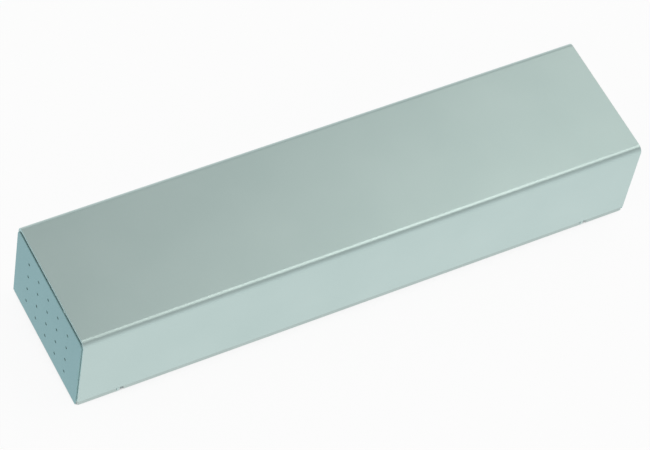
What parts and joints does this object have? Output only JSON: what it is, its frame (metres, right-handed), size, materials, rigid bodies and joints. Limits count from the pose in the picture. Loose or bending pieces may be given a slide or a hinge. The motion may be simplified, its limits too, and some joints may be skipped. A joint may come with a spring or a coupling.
{
  "type": "overhead door closer",
  "caption": "Surface-mounted door closer: folded metal hood and perforated end plates over a sprung hydraulic cylinder with rack, pinion spindle and valve screws.",
  "frame": {"origin": "centre of the mounting plate's back face, which goes against the door", "axes": "+X along the length towards the latching and closing valves, +Y the side where the spindle comes out, +Z away from the door"},
  "size_m": [0.2706, 0.0715, 0.046],
  "materials": {
    "hood_aluminium": "anodised",
    "end_plate_aluminium": "anodised",
    "plate_steel": "zinc plated",
    "zinc_steel": "zinc plated",
    "spring_steel": "tempered",
    "casting_aluminium": "cast",
    "black_steel": "blackened",
    "hardened_steel": "ground",
    "bearing_steel": "polished",
    "turned_steel": "turned",
    "seal_rubber": "matt",
    "copper_washer": "annealed",
    "valve_brass": "turned"
  },
  "bodies": {
    "base": {"mounting_plate": "plate_steel", "left_end_plate": "end_plate_aluminium", "right_end_plate": "end_plate_aluminium", "end_brackets": "zinc_steel", "hood_clips": "spring_steel", "closer_body": "casting_aluminium", "body_screws": "black_steel", "bearing_cups": "bearing_steel", "bearing_needles": "bearing_steel", "bearing_nut": "turned_steel", "lip_seal": "seal_rubber", "lower_cap": "turned_steel", "lower_cap_ring": "seal_rubber", "left_end_cap": "turned_steel", "right_end_cap": "turned_steel", "end_cap_rings": "seal_rubber", "filler_plug": "zinc_steel", "filler_washer": "copper_washer", "closing_spring": "spring_steel"},
    "hood": {"hood": "hood_aluminium"},
    "spindle": {"spindle": "hardened_steel"},
    "piston": {"piston": "hardened_steel", "check_poppet": "turned_steel", "check_retainer": "spring_steel"},
    "spring_adjuster": {"spring_adjuster": "turned_steel"},
    "spring_plate": {"spring_plate": "turned_steel"},
    "closing_valve": {"closing_valve": "valve_brass"},
    "latching_valve": {"latching_valve": "valve_brass"},
    "backcheck_valve": {"backcheck_valve": "valve_brass"}
  },
  "joints": [
    {"name": "hood_lift", "type": "slide", "parent": "base", "child": "hood", "axis": [0, 0, 1], "range_m": [0, 0.06]},
    {"name": "spindle_turn", "type": "hinge", "parent": "base", "child": "spindle", "pos_m": [0.04103, 0, 0.02305], "axis": [0, 1, 0], "range_deg": [0, 180], "stiffness_Nm_per_rad": 3},
    {"name": "piston_slide", "type": "slide", "parent": "base", "child": "piston", "axis": [1, 0, 0], "range_m": [-0.02829, 0], "deforming": ["closing_spring"]},
    {"name": "adjuster_turn", "type": "hinge", "parent": "base", "child": "spring_adjuster", "pos_m": [-0.112, 0, 0.02305], "axis": [1, 0, 0], "range_deg": [0, 3602]},
    {"name": "spring_plate_slide", "type": "slide", "parent": "base", "child": "spring_plate", "axis": [1, 0, 0], "range_m": [0, 0.0125], "deforming": ["closing_spring"]},
    {"name": "closing_valve_turn", "type": "hinge", "parent": "base", "child": "closing_valve", "pos_m": [0.09, -0.021, 0.0426], "axis": [0, 0, 1], "range_deg": [-360, 360]},
    {"name": "latching_valve_turn", "type": "hinge", "parent": "base", "child": "latching_valve", "pos_m": [0.078, -0.021, 0.0426], "axis": [0, 0, 1], "range_deg": [-360, 360]},
    {"name": "backcheck_valve_turn", "type": "hinge", "parent": "base", "child": "backcheck_valve", "pos_m": [-0.00197, -0.021, 0.0426], "axis": [0, 0, 1], "range_deg": [-360, 360]}
  ],
  "couplings": [
    {"joint": "piston_slide", "follows": "spindle_turn", "m_per_rad": -0.009},
    {"joint": "adjuster_turn", "follows": "spring_plate_slide", "rad_per_m": 5026.5}
  ]
}
